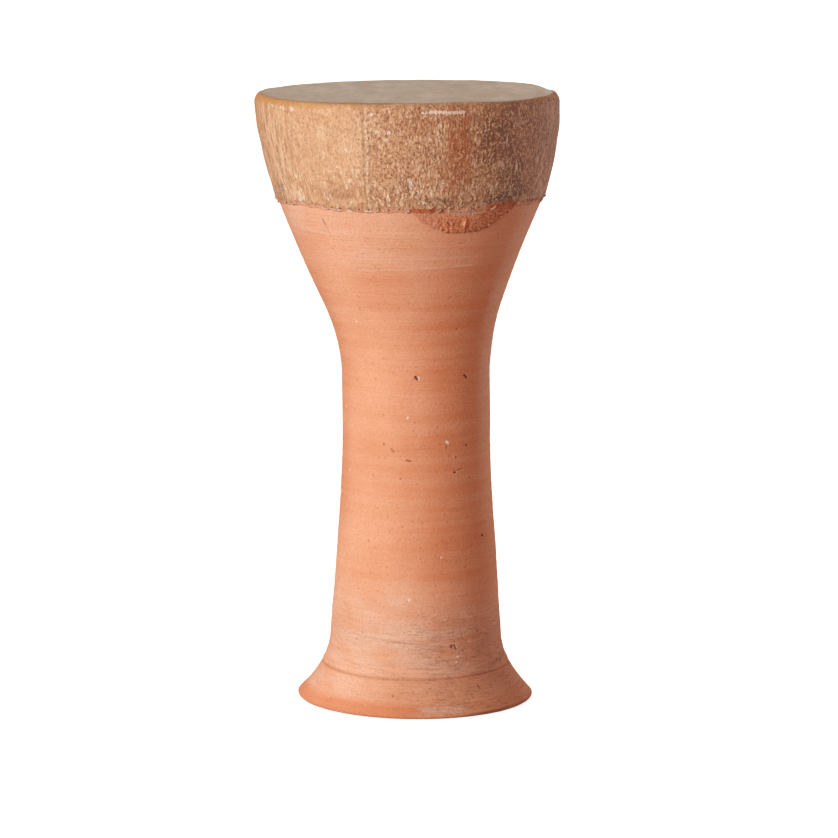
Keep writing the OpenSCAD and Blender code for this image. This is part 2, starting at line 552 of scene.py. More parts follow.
def glue_look(name, thin, thick):
    """Dried glue mixed with clay dust: grainy, with darker crusts. At the smear's left end the pale
    dust is partly painted light.
    """
    look = Look(name)
    blotch = look.noise(120, 4)
    grain = look.noise(620, 3, (1, 1, 1), 0.75)
    look.colour = look.mix(look.level(blotch, 0.3, 0.7), thin, thick)
    look.tint(grain, 0.48, 0.38, 0.8, (0.34, 0.085, 0.03))
    look.tint(grain, 0.53, 0.62, 0.8, (0.90, 0.50, 0.31))
    look.stain("crust", grain, 0.62, 0.42, 0.25, (0.26, 0.075, 0.03))
    # Pale dust, which at the smear's left end is partly painted light.
    look.layer(look.mark("dust"), (0.68, 0.39, 0.265))
    look.bump(grain, 0.0016)
    look.bump(blotch, 0.0010)
    roughness = look.level(blotch, 0.3, 0.7, 0.50, 0.75)
    return look.done(roughness, 0.4)


def thread_look():
    """Old cotton lacing: dull cream, dirty in the twist."""
    look = Look("old_cotton")
    fuzz = look.noise(1600, 3)
    dirt = look.noise(160, 3)
    look.colour = look.mix(look.level(fuzz, 0.3, 0.7), (0.70, 0.55, 0.40), (0.86, 0.74, 0.58))
    look.tint(dirt, 0.45, 0.7, 0.6, (0.42, 0.22, 0.12))
    look.bump(fuzz, 0.0004)
    roughness = look.level(dirt, 0.3, 0.7, 0.85, 0.98)
    return look.done(roughness, 0.2)


# ---- the clay shell

CLAY_COLUMNS = 244

# Marks in the clay, each as (turn, height) in degrees and mm at its two ends, its half width and
# its depth in mm, and how dark and how white it is. A dot has one place, a negative depth is a
# bump, and the lines are fine scratches that need less mesh.
CUTS = (
    ((0, 233), (1, 232), 1.3, 1.2, 0.85, 0), ((2.2, 233), (2.4, 232), 0.9, -0.3, 0, 1.0),
    ((40, 233), (43, 231), 0.9, 0.8, 0.8, 0), ((24, 187.5), (25, 187), 1.2, -0.4, 0, 1.0),
    ((24, 183), (24, 185), 0.6, 0.3, 0.5, 0), ((-19.5, 183), (-17, 181), 0.8, 0.6, 0.45, 0),
    ((-7, 175.4), (-4, 174.8), 0.7, 0.7, 0.8, 0), ((33, 167.5), (37, 168), 0.5, 0.4, 0.6, 0),
    ((56, 119.5), (57, 119), 1.0, 0.8, 0.8, 0), ((-5, 79), (-4, 79), 0.9, -0.2, 0, 0.8),
    ((-42, 344), (-41, 340), 0.7, 0.5, 0.6, 0), ((-41, 340), (-39.6, 332), 0.5, 0.3, 0.25, 0),
    ((-16.5, 181.8), (14, 183.6), 0.45, 0.15, 0.22, 0),
    ((24.6, 46), (24.8, 45.4), 1.1, 0.8, 0.5, 0), ((26.4, 46.5), (28, 43.5), 0.8, 0.7, 0.6, 0),
    ((46, 54.5), (46.3, 54), 0.9, 0.5, 0.5, 0), ((38.5, 18), (39.5, 16.5), 0.8, 0.5, 0.4, 0),
    ((28.5, 38.5), (28.7, 37.8), 0.7, -0.3, 0, 0.9), ((27.5, 35), (27.5, 34.4), 0.6, -0.3, 0, 0.8),
    ((33, 42), (33.2, 41.5), 0.8, 0.4, 0.4, 0),
)
DOTS = (
    ((-6.5, 205), 1.0, -0.3, 0, 0.9), ((-25.5, 186), 0.8, 0.6, 0.5, 0),
    ((-2, 196), 0.7, 0.4, 0.4, 0), ((31, 166), 1.1, 1.2, 1.0, 0), ((42, 184), 1.0, 0.8, 0.8, 0),
    ((32, 176.5), 0.8, 0.6, 0.7, 0), ((-35, 163), 0.7, 0.5, 0.4, 0),
    ((-12, 162.5), 0.8, 0.5, 0.5, 0), ((45, 161), 1.0, 0.7, 0.7, 0),
    ((-21, 136), 0.7, 0.4, 0.4, 0), ((-37, 118), 0.8, 0.5, 0.4, 0), ((-21, 101), 0.7, 0.4, 0.4, 0),
    ((18, 108), 0.8, -0.2, 0, 0.8), ((-41, 271), 0.8, -0.2, 0, 0.8),
    ((-35, 280), 0.8, 0.5, 0.5, 0), ((-12, 14), 0.9, 0.5, 0.4, 0),
)
LINES = (
    ((-49, 52.5), (-10, 49.5), 0.6, 0.25, 0.22, 0), ((-10, 49.5), (23, 45.5), 0.6, 0.3, 0.25, 0.1),
    ((-60, 33), (-20, 30), 0.6, 0.15, 0.12, 0), ((-30, 317), (40, 318), 0.5, 0.1, 0, 0.16),
    ((-28, 309), (36, 312), 0.5, 0.1, 0, 0.28), ((-60, 336), (-38, 333), 0.7, 0.1, 0, 0.22),
)


def scattered_pits():
    """Small pits all over the shell, with more and larger ones on its sides and back, where
    CUTS and DOTS have no marks."""
    rng = np.random.default_rng(11)
    pits = []
    for count, turns, heights, widths in (
        (40, (62, 298), (15, 340), (0.6, 1.2)),
        (22, (-60, 60), (75, 345), (0.35, 0.6)),
        (20, (0, 62), (14, 72), (0.3, 0.6)),
        (8, (-60, 0), (14, 72), (0.3, 0.5)),
    ):
        for _ in range(count):
            turn, height = rng.uniform(*turns), rng.uniform(*heights)
            width, depth = rng.uniform(*widths), rng.uniform(0.3, 0.8)
            white = rng.random() < 0.2
            pits.append((
                (turn, height), (turn + rng.uniform(0, 1.2), height + rng.uniform(-0.7, 0.7)),
                width, -0.25 if white else depth * width, 0 if white else 0.35, 0.6 if white else 0,
            ))
    return pits


def mark_distance(mark, turn, height):
    """Metres from each point of the side to a mark's middle line."""
    (turn_a, z_a), (turn_b, z_b) = mark[:2]
    radius = clay_r((z_a + z_b) / 2 * MM)
    off = wrapped(turn - turn_a * DEG)
    u, v = off * radius, height - z_a * MM
    along = np.array([(turn_b - turn_a) * DEG * radius, (z_b - z_a) * MM])
    share = np.clip((u * along[0] + v * along[1]) / max(along @ along, 1e-12), 0, 1)
    return np.hypot(u - share * along[0], v - share * along[1])


def clay_path():
    """The shell's closed outline: the land, up the outside, over the rim, down the inside."""
    edge_z = RIM_EDGE_Z
    outside = (
        evenly(LIP_R, 22.6 * MM, 1.1)
        + evenly(22.6 * MM, 26.6 * MM, 0.4)
        + evenly(26.6 * MM, 70 * MM, 1.25)
        + evenly(70 * MM, 345 * MM, 1.75)
        + evenly(345 * MM, 356 * MM, 1.2)
        + evenly(356 * MM, edge_z, 6)
    )
    inside = evenly(edge_z, 60 * MM, 5) + evenly(60 * MM, 3.3 * MM, 3)
    inner_corner = WALL_T - 5.5 * MM
    inner_rim_r = RIM_R - WALL_T + inner_corner
    inner_rim_z = edge_z + RIM_CORNER - inner_corner
    return (
        [(r, 0.0) for r in evenly(LAND_INNER_R, FOOT_R - LIP_R, 1.8)]
        + corner(FOOT_R - LIP_R, LIP_R, LIP_R, -90, 0, 6)
        + [(clay_r(z), z) for z in outside]
        + corner(RIM_R - RIM_CORNER, edge_z, RIM_CORNER, 0, 90, 4)
        + corner(inner_rim_r, inner_rim_z, inner_corner, 90, 180, 3)
        + [(inner_r(z), z) for z in inside]
    )


def ring_wobble(turn):
    """How far the rings near the foot lie above their heights."""
    return 0.25 * MM * noise(turn, 0, 5, 1, 8)


def spiral(turn, z, pitch):
    """The phase of ridges that run round the drum in a spiral, pitch mm apart."""
    return 2 * math.pi * (z / (pitch * MM) + turn / (2 * math.pi))


def clay_shape(turn, z):
    """How far the clay's outside stands out from its true outline, in metres."""
    ridges = np.sin(spiral(turn, z, 7.2) + 2 * noise(turn, z, 3, 60, 3))
    out = 0.05 * ridges + 0.16 * noise(turn, z, 3, 13, 4) + 0.10 * rough(turn, z, 14, 22, 5)
    wobble = ring_wobble(turn)
    out -= 0.85 * hump(z, GROOVE_Z + wobble, 0.75 * MM)
    out += 0.25 * hump(z, GROOVE_Z + 1.8 * MM + wobble, 1.0 * MM)
    out += 0.30 * hump(z, 63.5 * MM + wobble, 1.0 * MM)
    crumbs = sector(turn, 2, 52, 8) * band(z, 62, 69, 3)
    scar = sector(turn, 22, 31, 3) * band(z, 26, 48, 4)
    out += (0.45 * crumbs + 0.45 * scar) * rough(turn, z, 150, 2.2, 9)
    flare = band(z, 5, 22, 3)
    out += flare * 0.10 * noise(turn, z, 3, 2.6, 12)
    lip = ramp(z, 6, 2)
    out -= 0.25 * lip * np.maximum(0, rough(turn, z, 40, 6, 15))
    return out * MM * ramp(z, 362, 352)


def bloom_and_lit_side(turn, z):
    """Where pale chalk blooms on the clay, from 0 to 1. Towards the front left, on the side the key
    light falls on, it is partly painted light.
    """
    spots = 0.5 + 0.5 * rough(turn, z, 9, 26, 21)
    bands = 0.5 + 0.5 * rough(turn, z, 4, 6, 24)
    # Partly painted light: the bloom is made stronger towards the front left, where the key light
    # falls.
    left = 0.55 + 0.45 * np.cos(turn + 0.5)
    foot = band(z, 9, 23.5, 2) * (0.35 + 0.65 * bands)
    foot *= 0.3 + 0.7 * sector(turn, -150, -24, 24)
    lower = 1.0 * ramp(z, 100, 60) * ramp(z, 20, 30) * (0.7 + 0.3 * spots)
    bowl = 0.7 * ramp(z, 285, 325) * (0.4 + 0.6 * bands) * (0.4 + 0.6 * spots)
    bowl = np.maximum(bowl, 0.8 * sector(turn, -95, -52, 8) * ramp(z, 318, 338))
    ring = 0.6 * ridge(z, 63.5, 0.9) * (0.4 + 0.6 * spots)
    lip = sector(turn, 3, 27, 4) * band(z, 3.5, 7.5, 1)
    front = 0.7 * sector(turn, -24, -2, 8) * band(z, 66, 92, 8)
    edge = 0.85 * sector(turn, 58, 112, 8) * ramp(z, 100, 270)
    return np.maximum.reduce([foot * left, lower * left, bowl * left, ring, lip, front, edge])


def redness_and_shade(turn, z):
    """Where the clay is redder, from 0 to 1: fired colour, and on the right side and the right of the
    foot also painted shade.
    """
    cloud = 0.5 + 0.5 * rough(turn, z, 5, 60, 31)
    # Redder on the right: partly fired colour, partly painted shade of the side turned away from the
    # key light.
    right = sector(turn, 4, 58, 18) + 0.5 * step(abs(turn), 100 * DEG, 150 * DEG)
    edge = 0.45 * sector(turn, -110, -62, 8) * band(z, 120, 300, 20)
    tube = band(z, 20, 345, 25) * right * (0.72 + 0.28 * cloud)
    front = 0.45 * band(z, 280, 312, 12) * sector(turn, -30, 14, 12)
    middle = 0.42 * sector(turn, -16, 20, 12)
    front = np.maximum(front, middle * band(z, 95, 235, 20))
    # Painted shade: redder and darker low on the right of the foot.
    foot = 0.30 * ramp(z, 45, 25) * sector(turn, -2, 110, 20)
    lip = 0.7 * ramp(z, 13, 6) * sector(turn, -150, 10, 15)
    return np.maximum.reduce([tube, edge, front, foot, lip])


def build_clay():
    path = clay_path()
    points = spun(path, CLAY_COLUMNS)
    faces = ring_faces(len(path), CLAY_COLUMNS, closed=True)
    piece = make_piece("clay_shell", points.reshape(-1, 3), faces, clay_look(), "clay_body")
    mesh = piece.data
    marks = [*CUTS, *((place, place, *rest) for place, *rest in DOTS), *scattered_pits()]

    def near(centres, k):
        turn, z = side_place(centres)
        outer = np.hypot(centres[:, 0], centres[:, 1]) > clay_r(z) - 1.5 * MM
        chosen = np.zeros(len(centres), bool)
        for mark in (*marks, *LINES) if k == 0 else marks:
            chosen |= mark_distance(mark, turn, z) < (mark[2] + 1.4 - 0.5 * k) * MM
        return chosen & outer

    refine(mesh, near)
    spots, normals = coordinates(mesh)
    turn, z = side_place(spots)
    radial = (normals[:, 0] * np.sin(turn) - normals[:, 1] * np.cos(turn))
    outer = step(radial, 0.05, 0.3) * (z > 0.2 * MM)
    inner = step(radial, -0.05, -0.3)
    move = outer * clay_shape(turn, z)
    finger = np.sin(spiral(-turn, z, 11))
    move += inner * MM * (0.30 * finger + 0.3 * noise(turn, z, 4, 18, 41))
    grime_and_shade, white = np.zeros(len(z)), np.zeros(len(z))
    ragged = 1 + 0.35 * rough(turn, z, 300, 1.1, 51, 2)
    for mark in (*marks, *LINES):
        width, depth, dark, pale = mark[2] * MM, mark[3] * MM, mark[4], mark[5]
        far = mark_distance(mark, turn, z) * ragged
        move -= outer * depth * step(far, width, 0.25 * width)
        grime_and_shade = np.maximum(grime_and_shade, outer * dark * step(far, 1.05 * width, 0.45 * width))
        white = np.maximum(white, outer * pale * step(far, 1.0 * width, 0.5 * width))
    # Darker along the groove.
    ring = hump(z, GROOVE_Z + ring_wobble(turn), 0.6 * MM)
    grime_and_shade = np.maximum(grime_and_shade, outer * 0.28 * ring)
    # Painted shade: a dark band along the underside of the lip, taller towards the right, where the
    # rounded lip turns down out of the light.
    dirty = (0.5 + 2.4 * sector(turn, 28, 115, 26)) * MM
    under = step(z, dirty + 0.6 * MM, dirty - 0.4 * MM)
    grime_and_shade = np.maximum(grime_and_shade, 0.62 * under * (0.8 + 0.2 * noise(turn, z, 40, 1000, 52)))
    # Painted shade: the foot is darkened a little on its right side, which is turned away from the key
    # light.
    right_foot_shade = sector(turn, 34, 115, 20) * ramp(z, 60, 22)
    grime_and_shade = np.maximum(grime_and_shade, outer * 0.08 * right_foot_shade)
    move_points(mesh, as_thrown(spots + normals * move[:, None]))
    paint(mesh, "grime_and_shade", grime_and_shade)
    paint(mesh, "white", white)
    paint(mesh, "chalk_and_light", outer * bloom_and_lit_side(turn, z) + inner * 0.3)
    paint(mesh, "warm_and_shade", outer * redness_and_shade(turn, z))
    worked = 0.35 + 0.5 * sector(turn, 0, 110, 25)
    paint(mesh, "tooled", outer * ramp(z, 85, 50) * worked)
    return piece


# ---- the hide's lower edge

# Where the edge is curled out and where it is frayed, in degrees, with how soft the ends are
CURLED = (-37, -15, 2)
FRAYED = (47, 72, 3)


def edge_shift(turn):
    """How far the hide's ragged edge lies above its true height, round the drum."""
    shift = 0.8 + 0.4 * uneven(turn, 23, 61) + 0.30 * uneven(turn, 150, 65, 2)
    shift += 1.2 * hump(turn, 50 * DEG, 12 * DEG) - 0.8 * hump(turn, 84 * DEG, 10 * DEG)
    shift += 1.6 * hump(turn, -52 * DEG, 16 * DEG)
    scallop = 0.5 + 0.5 * np.cos(turn * HOLE_COUNT)
    strength = 0.45 + 0.4 * noise(turn, 0, HOLE_COUNT, 1, 67)
    return (shift - strength * scallop) * MM


# How high the glue covers the hide's edge, in mm above its true height, at some turns in degrees
COAT_LINE = (
    (-180, 3), (-140, 4), (-100, 2), (-76, 3), (-58, 5), (-47, 4.6), (-34, 2.8), (-23, 3), (-3, 4),
    (15, 2.6), (23, 3), (34, 4), (50, 4.6), (67, 2.6), (80, 1), (120, 3.5), (150, 2.5), (180, 3),
)


def coat_height(turn):
    """The height up to which glue covers the hide's edge."""
    return SKIRT_Z + line_through(COAT_LINE, turn, DEG, MM) + 0.35 * MM * uneven(turn, 120, 69)


def edge_curl(turn, rise):
    """How far the hide's edge turns out from the clay, at a height above the edge."""
    amount = 0.05 + 0.40 * np.maximum(0, uneven(turn, 60, 71, 2))
    at_hole = 0.5 + 0.5 * np.cos(turn * HOLE_COUNT)
    nub = (0.15 + 0.85 * np.maximum(0, noise(turn, 0, HOLE_COUNT, 1, 73))) * at_hole**2
    nub += 0.45 * at_hole * (sector(turn, *CURLED) + sector(turn, *FRAYED))
    return MM * (amount * np.exp(-rise / (1.5 * MM)) + nub * hump(rise, HOLE_RISE, 1.6 * MM))


# ---- the hide

COLUMNS_PER_HOLE = 10
HIDE_COLUMNS = COLUMNS_PER_HOLE * HOLE_COUNT
HOLE_ROWS = (3, 5)
EDGE_RISES = [h * MM for h in (0, 0.45, 0.9, 1.45, 2.2, 2.95, 3.5, 4.1, 4.8, 5.6)]


def hide_path(off, spacing, corner_rows, face_rows):
    """From the hide's edge up the bowl, round the rim and in to near the centre, as (radius,
    height), for a surface that lies off metres out from the clay."""
    corner_r, corner_z = RIM_R - RIM_CORNER, RIM_EDGE_Z
    rises = EDGE_RISES + evenly(EDGE_RISES[-1] + 0.9 * MM, corner_z - SKIRT_Z, spacing)
    wall = [(clay_r(SKIRT_Z + rise) + off, SKIRT_Z + rise) for rise in rises]
    bend = corner(corner_r, corner_z, RIM_CORNER + off, 0, 90, corner_rows)
    shares = np.linspace(0, 1, face_rows)
    inwards = (2 * MM - corner_r) * (0.35 * shares + 0.65 * shares * shares)
    return wall + bend + [(corner_r + way, CLAY_HIGH.z + off) for way in inwards]


# Stains on the hide's side, each as its middle (turn in degrees, height in mm), its half width
# and half height in mm, and its strength
BROWN = (
    (37, 397, 22, 26, 1.0), (31, 413, 12, 9, 0.65), (50, 374, 22, 20, 0.9), (60, 395, 16, 26, 0.7),
    (26, 360, 14, 5, 0.6), (12, 358, 14, 4, 0.85), (-2, 372, 6, 14, 0.45), (0, 411, 9, 7, 0.4),
    (-68, 361, 16, 6, 0.5), (-30, 364, 17, 6, 0.30), (-10, 359, 10, 4, 0.3),
    (8, 385, 14, 30, 0.25), (-4, 385, 8, 26, 0.15), (28, 385, 14, 34, 0.45), (18, 358, 22, 5, 0.5),
    (20, 375, 11, 12, 0.45),
)
RED = (
    (20, 391, 13, 33, 1.0), (21, 415, 15, 7, 0.8), (4, 410, 16, 8, 0.45), (-10, 359, 11, 4, 0.55),
    (-28, 362, 12, 5, 0.35), (26, 361, 12, 6, 0.4), (8, 384, 10, 20, 0.25), (19, 376, 13, 14, 1.0),
)
DARK = (
    (38.5, 359, 10, 5, 0.9), (49, 361, 12, 7, 0.8), (43, 372, 14, 12, 0.5), (36, 404, 12, 9, 0.4),
)
PALE = (
    (-31, 419, 8, 4, 1.0), (-33, 406, 6, 7, 0.9), (-25, 398, 26, 26, 0.45),
    (-64, 385, 18, 34, 0.6), (-60, 366, 14, 12, 0.5), (-18, 412, 16, 10, 0.4),
    (-18, 396, 8, 24, 0.6),
)
CREAM = (
    (12.2, 410, 1.3, 5, 0.6), (11.6, 401, 1.6, 6, 0.5), (40, 397.5, 1.2, 3.5, 0.9),
    (0.5, 370, 1.3, 4, 0.8), (8.5, 364.5, 1.3, 4, 0.8), (60, 381, 0.9, 4.5, 0.8),
    (44.8, 363, 1.0, 4, 0.8), (-58, 409, 1.1, 4, 0.6), (-55, 399, 1.1, 3.5, 0.6),
    (-12.8, 417.5, 1.4, 1.4, 0.9), (-11.6, 405.8, 5.0, 0.9, 0.7), (-6.8, 405.5, 1.8, 2.4, 0.9),
    (-7.8, 401, 1.2, 3, 0.7), (0.5, 418.3, 6, 0.9, 0.6), (26, 418.6, 4, 0.9, 0.5),
    (26, 366.4, 12, 0.8, 0.45), (57, 367, 13, 0.7, 0.3), (-60, 420.5, 4, 2, 0.7),
    (-53, 419.5, 4, 2, 0.8), (-47.5, 419.5, 2, 2.6, 0.9), (-24, 393, 1.5, 1.5, 0.7),
    (8, 402, 5, 2, 0.4), (-20, 371, 1.5, 8, 0.4), (-40, 372, 2, 5, 0.35), (3, 364, 1.2, 4, 0.6),
    (30, 404, 1.2, 3, 0.5),
)


def blotches(spots, turn, z, seed):
    """How strong any of some stains is at each point, with broken edges."""
    ragged = 1 + 0.55 * rough(turn, z, 110, 5, seed)
    total = np.zeros(np.shape(z))
    for at, height, width, tall, strength in spots:
        off = wrapped(turn - at * DEG)
        far = np.hypot(off * HEAD_R / (width * MM), (z - height * MM) / (tall * MM)) * ragged
        total = np.maximum(total, strength * step(far, 1.35, 0.45))
    return total


def more_blotches(count, width, tall, seed):
    """Stains for the side that isn't seen from the front."""
    rng = np.random.default_rng(seed)
    return tuple(
        (rng.uniform(85, 280), rng.uniform(356, 420), width * rng.uniform(0.6, 1.5),
         tall * rng.uniform(0.6, 1.5), rng.uniform(0.4, 0.9))
        for _ in range(count)
    )


def pale_strip(turn, z):
    """The pale strip just under the rim, to the right of the front."""
    middle = 418.3 * MM + 0.5 * MM * noise(turn, 0, 90, 1, 87)
    half = (0.6 + 0.5 * step(turn, 4.5 * DEG, 9 * DEG)) * MM
    return sector(turn, 5, 22.3, 0.4) * window(z, middle - half, middle + half, 0.4 * MM)


def loose_edge(turn, height):
    """Where the hide's edge is curled or frayed, and so is pale and without glue. On the curls the
    paleness is partly painted highlight, where the raised curls catch the light.
    """
    curls = sector(turn, *CURLED) * band(height, -1, 1.8, 0.7)
    curls = curls * step(uneven(turn, 100, 88), -0.4, 0.1)
    frayed = sector(turn, *FRAYED) * band(height, -1, 1.4, 0.6)
    frayed = 0.7 * frayed * step(uneven(turn, 140, 92), -0.3, 0.2)
    return np.maximum(curls, frayed)


def amber_rim(turn, z, small):
    """Where the rim is rubbed to amber: wider and stronger at the left."""
    rim = hump(z, DRUM_H - 0.9 * MM, 1.3 * MM) * (0.45 + 0.55 * sector(turn, -150, -15, 15))
    left = sector(turn, -100, -30, 10) * (0.8 + 0.3 * small)
    return np.maximum(rim, left * hump(z, DRUM_H - 2.2 * MM, 2.0 * MM))


def hide_marks(turn, z, radius):
    """The hide's painted stains, with some painted highlight and shade among them, as a dict of
    numbers for each point.
    """
    small = rough(turn, z, 90, 6, 84)
    near_top = step(z, DRUM_H - 6 * MM, DRUM_H - 4 * MM)
    on_face = step(radius, HEAD_R - 3.0 * MM, HEAD_R - 5.5 * MM) * near_top
    height = z - SKIRT_Z
    brown = blotches(BROWN + more_blotches(9, 18, 18, 181), turn, z, 81)
    brown = np.maximum(brown, 0.25 * sector(turn, -16, 28, 8))
    brown = np.maximum(brown, 0.92 * sector(turn, 30, 64, 10) * (0.8 + 0.3 * small))
    red = blotches(RED + more_blotches(5, 10, 16, 182), turn, z, 82)
    pale = blotches(PALE + more_blotches(7, 12, 14, 183), turn, z, 83)
    crease = from_crease(turn, z, radius)
    pale = np.maximum(pale, 0.7 * band(crease, 0.6, 3, 0.5))
    cream = 0.72 * blotches(CREAM + more_blotches(24, 1.3, 3.5, 184), turn, z, 85)
    cream = np.maximum(cream, 0.8 * pale_strip(turn, z))
    cream = np.maximum(cream, 0.55 * step(small, 0.40, 0.60) * ramp(height, 45, 5))
    broken = np.clip(0.5 + 0.9 * rough(turn, z, 30, 9, 89), 0, 1)
    crease = crease + 0.5 * MM * noise(turn, z, 8, 14, 90)
    # Painted highlight: a pale line along the crease's second ridge, where it catches the light.
    crease_ridge_highlight = band(z, 362, 417, 4) * ridge(crease, 3.4, 0.9)
    cream = np.maximum(cream, (0.24 + 0.30 * broken) * crease_ridge_highlight)
    loose = loose_edge(turn, height)
    # Pale curled and frayed edge; on the curls it is partly painted highlight.
    cream = np.maximum(cream, loose)
    grey = 0.75 * sector(turn, 60, 115, 10)
    pale = np.maximum(pale, 0.35 * sector(turn, 63, 112, 6) * ramp(z, 385, 405))
    fleck = 0.25 + 0.75 * ramp(height, 50, 10) + 0.3 * hump(turn, -62 * DEG, 18 * DEG)
    fleck += 0.5 * sector(turn, 26, 75, 8) * ramp(height, 50, 15)
    speck = 0.45 + 0.55 * step(turn, -24 * DEG, -6 * DEG) * step(turn, 175 * DEG, 120 * DEG)
    speck *= 1 - 0.4 * red
    streak = sector(turn, -120, -50, 10) + 0.6 * sector(turn, 58, 120, 8)
    streak += 0.4 * ramp(height, 26, 8)
    coat = step(z, coat_height(turn) + 0.35 * MM, coat_height(turn) - 0.35 * MM)
    coat = coat * (1 - loose)
    # Darker along the crease itself, and painted shade just to the right of its second ridge, on the
    # side away from the light.
    grime_and_shade = (0.10 + 0.18 * broken) * ridge(crease, 0, 0.6) + 0.12 * ridge(crease, 4.8, 0.7)
    grime_and_shade = grime_and_shade * (1 - on_face) * ramp(z, 356, 366)
    rim_line = hump(radius, HEAD_R - 3.7 * MM, 0.9 * MM) * near_top
    grime_and_shade = np.maximum(grime_and_shade, 0.55 * rim_line * sector(turn, -34, 100, 8) * broken)
    nick = hump((turn + 86 * DEG) * radius, 0, 2.6 * MM) * ridge(radius, 78, 1.6) * on_face
    seam = 0.15 * hump(z, coat_height(turn) + 0.6 * MM, 0.6 * MM)
    smeared = sector(turn, 1, 14.5, 1) + sector(turn, 35, 51, 1)
    grime_and_shade = np.maximum.reduce([grime_and_shade, 0.85 * nick, seam])
    return {
        "face": on_face, "brown": brown, "red": red, "dark": blotches(DARK, turn, z, 86),
        "pale": pale, "cream": cream * (1 - on_face), "grey": grey, "speck": speck,
        "amber": amber_rim(turn, z, small) * (1 - on_face), "fleck": fleck, "streak": streak,
        "coat": coat, "grime_and_shade": grime_and_shade, "smeared": smeared * coat,
    }


def from_crease(turn, z, radius):
    """How far to the right of the hide's one vertical crease a point lies."""
    return (turn + (16.6 + 1.7 * step(z, DRUM_H, SKIRT_Z)) * DEG) * radius


def hide_shape(turn, z, radius):
    """How far the hide's outside stands out from its true outline, on its side."""
    out = 0.16 * rough(turn, z, 30, 22, 91) + 0.10 * rough(turn, z, 200, 9, 94, 2)
    out += 0.10 * ramp(z, 400, 360) * noise(turn, z, 240, 16, 97)
    crease = from_crease(turn, z, radius)
    out += 0.55 * ridge(crease, 0, 1.0) - 0.22 * ridge(crease, 1.8, 0.8)
    out += 0.45 * band(z, 364, 410, 5) * ridge(crease, 3.6, 0.8)
    out += 0.25 * sector(turn, 20, 42, 3) * ridge(z, 363, 0.8)
    return out * MM


def rim_shape(turn, radius):
    """How far the hide's face lies above its true height, near the rim and on the face."""
    clumps = uneven(turn, 50, 101)
    out = 0.22 * clumps * ramp(radius, 94, 100)
    fold = sector(turn, 76, 100, 5) * (1 + 0.7 * clumps)
    fold += 0.7 * sector(turn, -112, -62, 8)
    out += 0.9 * fold * band(radius, 99.5, 103.5, 1.2)
    sag = -0.35 * (1 - (radius / HEAD_R) ** 2)
    waves = 0.14 * np.sin(radius * 95 + 2 * np.sin(turn)) * np.sin(2 * turn + 0.6)
    return (out + sag + waves * ramp(radius, 20, 50)) * MM


def hide_surface(path, outside):
    """The bent points of the hide's outer or inner surface, and their stains."""
    points = spun(path, HIDE_COLUMNS)
    turn = np.arctan2(points[..., 0], -points[..., 1])
    radius = np.hypot(points[..., 0], points[..., 1])
    z = points[..., 2]
    rise = z - SKIRT_Z
    on_top = step(z, RIM_EDGE_Z, CLAY_HIGH.z)
    new_z = z + edge_shift(turn) * ramp(rise, 16, 0)
    new_r = radius + (clay_r(np.minimum(new_z, RIM_EDGE_Z)) - clay_r(np.minimum(z, RIM_EDGE_Z)))
    if outside:
        new_r = new_r + hide_shape(turn, z, HEAD_R) * (1 - on_top)
    thinned = 0.85 if outside else 0.25
    new_r = new_r - thinned * MM * ramp(rise, 4.5, 0.5) + edge_curl(turn, rise) * (1 - on_top)
    new_z = new_z + rim_shape(turn, radius) * on_top
    marks = {key: value.ravel() for key, value in hide_marks(turn, new_z, radius).items()}
    return round_points(new_r, turn, new_z).reshape(-1, 3), marks


def hole_grid(middle, rows, sides):
    """Indices of grid points in some rows and to some sides of a lacing hole's column."""
    return [row * HIDE_COLUMNS + (middle + side) % HIDE_COLUMNS for row in rows for side in sides]


def round_holes(points):
    """Pulls the grid's points round each lacing hole onto a circle."""
    rng = np.random.default_rng(111)
    low, high = HOLE_ROWS
    for column in range(0, HIDE_COLUMNS, COLUMNS_PER_HOLE):
        middle = (low + 1) * HIDE_COLUMNS + column
        size = HOLE_R * rng.uniform(0.75, 1.15)
        for index in hole_grid(column, range(low, high + 1), (-1, 0, 1)):
            if index != middle:
                off = points[index] - points[middle]
                points[index] = points[middle] + off * size / np.linalg.norm(off)


def build_hide():
    outer, outer_marks = hide_surface(hide_path(GLUE_T + HIDE_T, 1.1, 7, 13), True)
    inner, inner_marks = hide_surface(hide_path(GLUE_T, 6, 3, 6), False)
    round_holes(outer)
    round_holes(inner)
    n, first = HIDE_COLUMNS, len(outer)
    low, high = HOLE_ROWS
    columns = range(0, n, COLUMNS_PER_HOLE)
    holes = {(row, (k + side) % n) for k in columns for side in (-1, 0) for row in (low, low + 1)}
    faces = ring_faces(len(outer) // n, n, skip=holes)
    faces += ring_faces(len(inner) // n, n, first, skip=holes, flip=True)
    faces += [(first + i, first + (i + 1) % n, (i + 1) % n, i) for i in range(n)]
    loop = (
        (low, -1), (low, 0), (low, 1), (low + 1, 1), (high, 1), (high, 0), (high, -1), (low + 1, -1),
    )
    for column in columns:
        ring = [row * n + (column + side) % n for row, side in loop]
        faces += [(a, b, first + b, first + a) for a, b in zip(ring, ring[1:] + ring[:1])]
    tips = [outer[-n:].mean(0), inner[-n:].mean(0)]
    points = np.concatenate([outer, inner, tips])
    tip = len(points) - 2
    faces += [(first - n + i, first - n + (i + 1) % n, tip) for i in range(n)]
    faces += [(tip - n + (i + 1) % n, tip - n + i, tip + 1) for i in range(n)]
    piece = make_piece("hide", as_thrown(points), faces, hide_look(), "hide_head")
    for key in outer_marks:
        ends = [outer_marks[key][-1], inner_marks[key][-1]]
        paint(piece.data, key, np.concatenate([outer_marks[key], inner_marks[key], ends]))
    bm = bmesh.new()
    bm.from_mesh(piece.data)
    bmesh.ops.delete(bm, geom=[v for v in bm.verts if not v.link_faces], context="VERTS")
    bm.to_mesh(piece.data)
    bm.free()
    return piece


# ---- the glue

